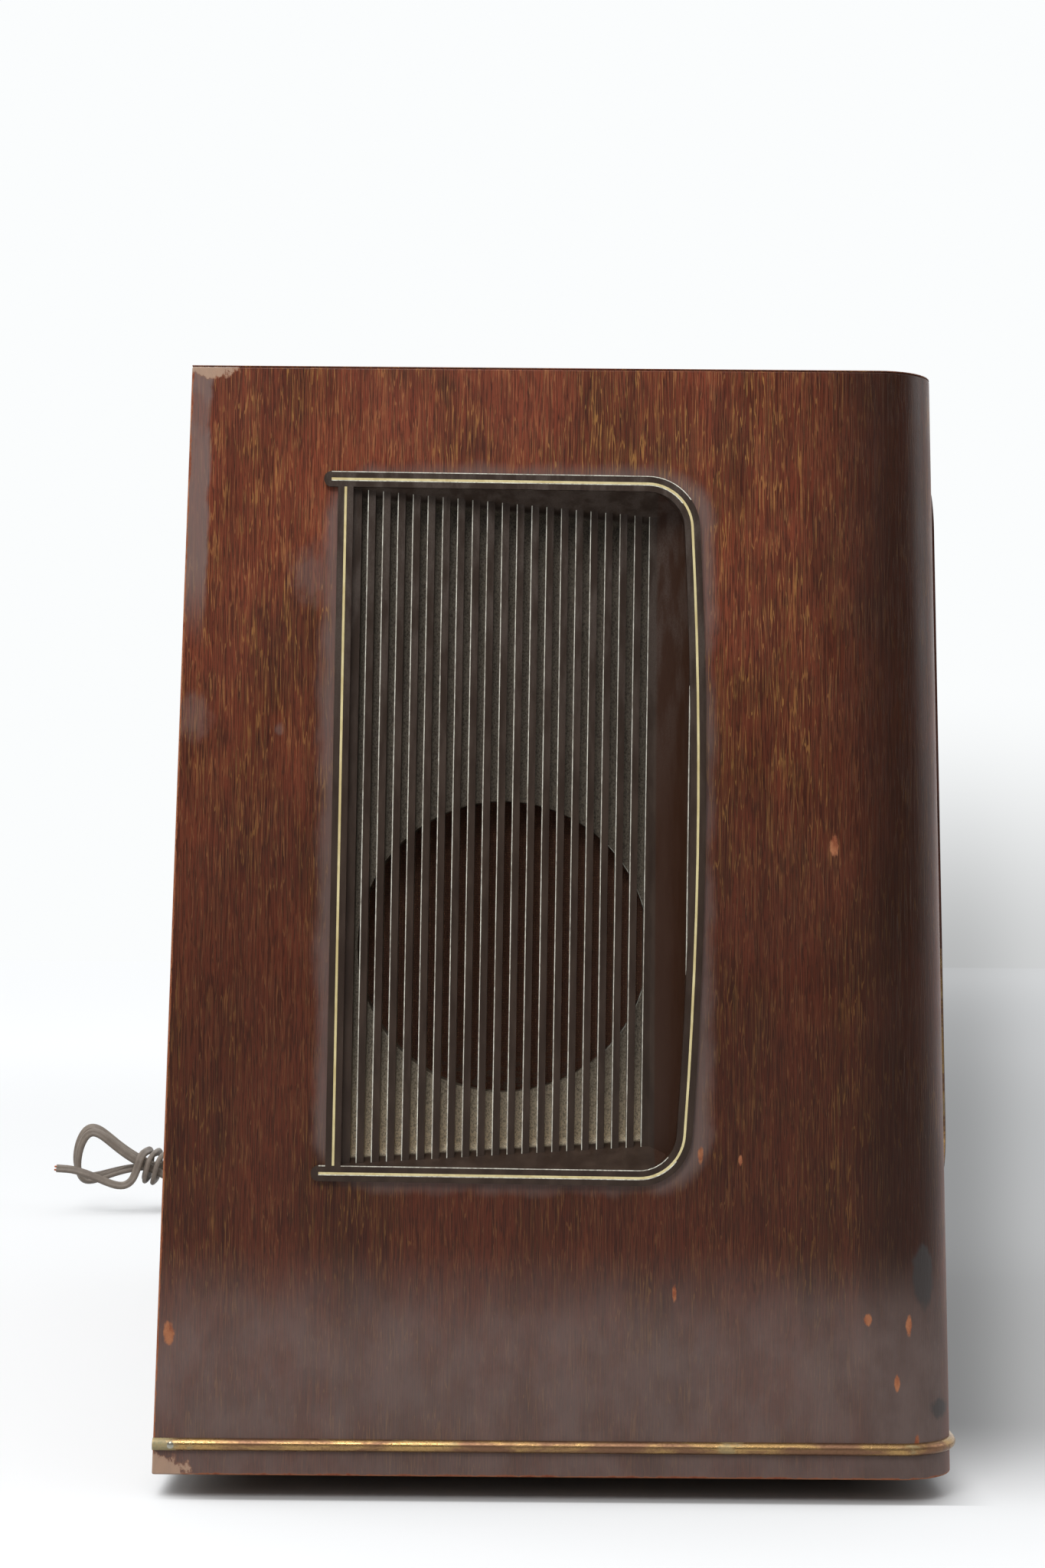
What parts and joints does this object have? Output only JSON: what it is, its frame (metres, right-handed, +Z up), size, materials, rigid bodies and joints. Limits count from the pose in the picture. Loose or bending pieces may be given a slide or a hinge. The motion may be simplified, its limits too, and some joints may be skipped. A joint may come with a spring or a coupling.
{
  "type": "table radio",
  "caption": "Wooden valve table radio with a slatted loudspeaker grille in each side, tuning dial, push keys, double knobs, works inside and a tied mains cord.",
  "frame": {"origin": "on the floor, at the middle of the bounding box of everything but the mains cord", "axes": "+Z up, the front with the dial and keys faces -Y, the side with negative X is the one in the picture"},
  "size_m": [0.9601, 0.5093, 0.4245],
  "materials": {
    "veneer": "aged semi-gloss varnish on mahogany veneer",
    "plain_wood": "raw",
    "runner": "dark stain",
    "brass": "worn satin",
    "bakelite": "dusty satin",
    "gold_paint": "satin",
    "side_cloth": "woven",
    "front_cloth": "woven",
    "grey_steel": "satin",
    "zinc": "plated",
    "aluminium": "satin",
    "paper": "pressed paper",
    "front_frame": "gloss",
    "glass": "clear",
    "dial": "satin",
    "pointer": "satin",
    "dial_line": "waxed",
    "pulley": "matte",
    "ivory": "gloss",
    "eye_glass": "fluorescent screen behind glass",
    "hardboard": "pressed fibre",
    "winding": "waxed paper",
    "ferrite": "sintered",
    "cord": "dull",
    "rubber": "dull"
  },
  "bodies": {
    "cabinet": {"side_panel_left": "veneer", "side_panel_right": "veneer", "top_panel": "veneer", "bottom_board": "plain_wood", "front_panel": "veneer", "corner_blocks": "plain_wood", "back_battens": "plain_wood", "base_runners": "runner", "runner_screws": "zinc", "brass_bead": "brass", "side_grille_left": "bakelite", "side_grille_right": "bakelite", "grille_inlay_left": "gold_paint", "grille_inlay_right": "gold_paint", "side_cloth_left": "side_cloth", "side_cloth_right": "side_cloth", "side_speaker_left": "grey_steel", "side_speaker_right": "grey_steel", "front_bezel": "front_frame", "dial_trim": "brass", "front_cloth": "front_cloth", "speaker_board": "plain_wood", "front_speaker": "grey_steel", "dial_glass": "glass", "dial_plate": "dial", "dial_cord": "dial_line", "capacitor_frame": "zinc", "potentiometers": "zinc", "key_frame": "zinc", "key_surround": "brass", "magic_eye": "eye_glass", "chassis": "zinc", "valve_sockets": "bakelite", "valves": "glass", "screening_cans": "aluminium", "mains_transformer": "grey_steel", "ferrite_aerial": "ferrite", "socket_strip": "bakelite", "back_cover": "hardboard", "cord_grommet": "rubber", "mains_cord": "cord", "mains_hank": "cord"},
    "front_cone_body": {"front_cone": "paper"},
    "side_cone_left_body": {"side_cone_left": "paper"},
    "side_cone_right_body": {"side_cone_right": "paper"},
    "tuning": {"tuning_knob": "bakelite"},
    "treble": {"treble_knob": "brass"},
    "volume": {"volume_knob": "bakelite"},
    "bass": {"bass_knob": "brass"},
    "drum": {"dial_drum": "aluminium"},
    "pointer": {"dial_pointer": "pointer"},
    "left_pulley": {"pulley_left": "pulley"},
    "right_pulley": {"pulley_right": "pulley"},
    "key_1_body": {"key_1": "ivory"},
    "key_2_body": {"key_2": "ivory"},
    "key_3_body": {"key_3": "ivory"},
    "key_4_body": {"key_4": "ivory"},
    "key_5_body": {"key_5": "ivory"},
    "key_6_body": {"key_6": "ivory"},
    "key_7_body": {"key_7": "ivory"}
  },
  "joints": [
    {"name": "tuning_spin", "type": "hinge", "parent": "cabinet", "child": "tuning", "pos_m": [0.16, -0.14028, 0.066], "axis": [0, 1, 0], "range_deg": [-1080, 1080]},
    {"name": "treble_spin", "type": "hinge", "parent": "cabinet", "child": "treble", "pos_m": [0.16, -0.14028, 0.066], "axis": [0, 1, 0], "range_deg": [-135, 135]},
    {"name": "volume_spin", "type": "hinge", "parent": "cabinet", "child": "volume", "pos_m": [-0.16, -0.14028, 0.066], "axis": [0, 1, 0], "range_deg": [-135, 135]},
    {"name": "bass_spin", "type": "hinge", "parent": "cabinet", "child": "bass", "pos_m": [-0.16, -0.14028, 0.066], "axis": [0, 1, 0], "range_deg": [-135, 135]},
    {"name": "drum_spin", "type": "hinge", "parent": "cabinet", "child": "drum", "pos_m": [0.06, -0.12028, 0.132], "axis": [0, 1, 0], "range_deg": [-90.5, 90.5]},
    {"name": "pointer_slide", "type": "slide", "parent": "cabinet", "child": "pointer", "axis": [1, 0, 0], "range_m": [-0.0945, 0.0945]},
    {"name": "left_pulley_spin", "type": "hinge", "parent": "cabinet", "child": "left_pulley", "pos_m": [-0.112, -0.12028, 0.19], "axis": [0, 1, 0], "range_deg": [-901, 901]},
    {"name": "right_pulley_spin", "type": "hinge", "parent": "cabinet", "child": "right_pulley", "pos_m": [0.112, -0.12028, 0.19], "axis": [0, 1, 0], "range_deg": [-901, 901]},
    {"name": "key_1_press", "type": "hinge", "parent": "cabinet", "child": "key_1_body", "pos_m": [-0.078, -0.07428, 0.058], "axis": [1, 0, 0], "range_deg": [0, 5.5], "stiffness_Nm_per_rad": 0.6, "springref_deg": -8.59},
    {"name": "key_2_press", "type": "hinge", "parent": "cabinet", "child": "key_2_body", "pos_m": [-0.052, -0.07428, 0.058], "axis": [1, 0, 0], "range_deg": [0, 5.5], "stiffness_Nm_per_rad": 0.6, "springref_deg": -8.59},
    {"name": "key_3_press", "type": "hinge", "parent": "cabinet", "child": "key_3_body", "pos_m": [-0.026, -0.07428, 0.058], "axis": [1, 0, 0], "range_deg": [0, 5.5], "stiffness_Nm_per_rad": 0.6, "springref_deg": -8.59},
    {"name": "key_4_press", "type": "hinge", "parent": "cabinet", "child": "key_4_body", "pos_m": [0, -0.07428, 0.058], "axis": [1, 0, 0], "range_deg": [0, 5.5], "stiffness_Nm_per_rad": 0.6, "springref_deg": -8.59},
    {"name": "key_5_press", "type": "hinge", "parent": "cabinet", "child": "key_5_body", "pos_m": [0.026, -0.07428, 0.058], "axis": [1, 0, 0], "range_deg": [0, 5.5], "stiffness_Nm_per_rad": 0.6, "springref_deg": -8.59},
    {"name": "key_6_press", "type": "hinge", "parent": "cabinet", "child": "key_6_body", "pos_m": [0.052, -0.07428, 0.058], "axis": [1, 0, 0], "range_deg": [0, 5.5], "stiffness_Nm_per_rad": 0.6, "springref_deg": -8.59},
    {"name": "key_7_press", "type": "hinge", "parent": "cabinet", "child": "key_7_body", "pos_m": [0.078, -0.07428, 0.058], "axis": [1, 0, 0], "range_deg": [0, 5.5], "stiffness_Nm_per_rad": 0.6, "springref_deg": -8.59},
    {"name": "front_cone_stroke", "type": "slide", "parent": "cabinet", "child": "front_cone_body", "axis": [0, 0.9998, -0.02], "range_m": [-0.0015, 0.0015], "stiffness_N_per_m": 1500},
    {"name": "side_cone_left_stroke", "type": "slide", "parent": "cabinet", "child": "side_cone_left_body", "axis": [1, 0, 0], "range_m": [-0.001, 0.001], "stiffness_N_per_m": 1500},
    {"name": "side_cone_right_stroke", "type": "slide", "parent": "cabinet", "child": "side_cone_right_body", "axis": [1, 0, 0], "range_m": [-0.001, 0.001], "stiffness_N_per_m": 1500}
  ],
  "couplings": [
    {"joint": "drum_spin", "follows": "tuning_spin", "ratio": 0.083333},
    {"joint": "pointer_slide", "follows": "tuning_spin", "m_per_rad": 0.005},
    {"joint": "left_pulley_spin", "follows": "tuning_spin", "ratio": 0.83333},
    {"joint": "right_pulley_spin", "follows": "tuning_spin", "ratio": 0.83333}
  ]
}
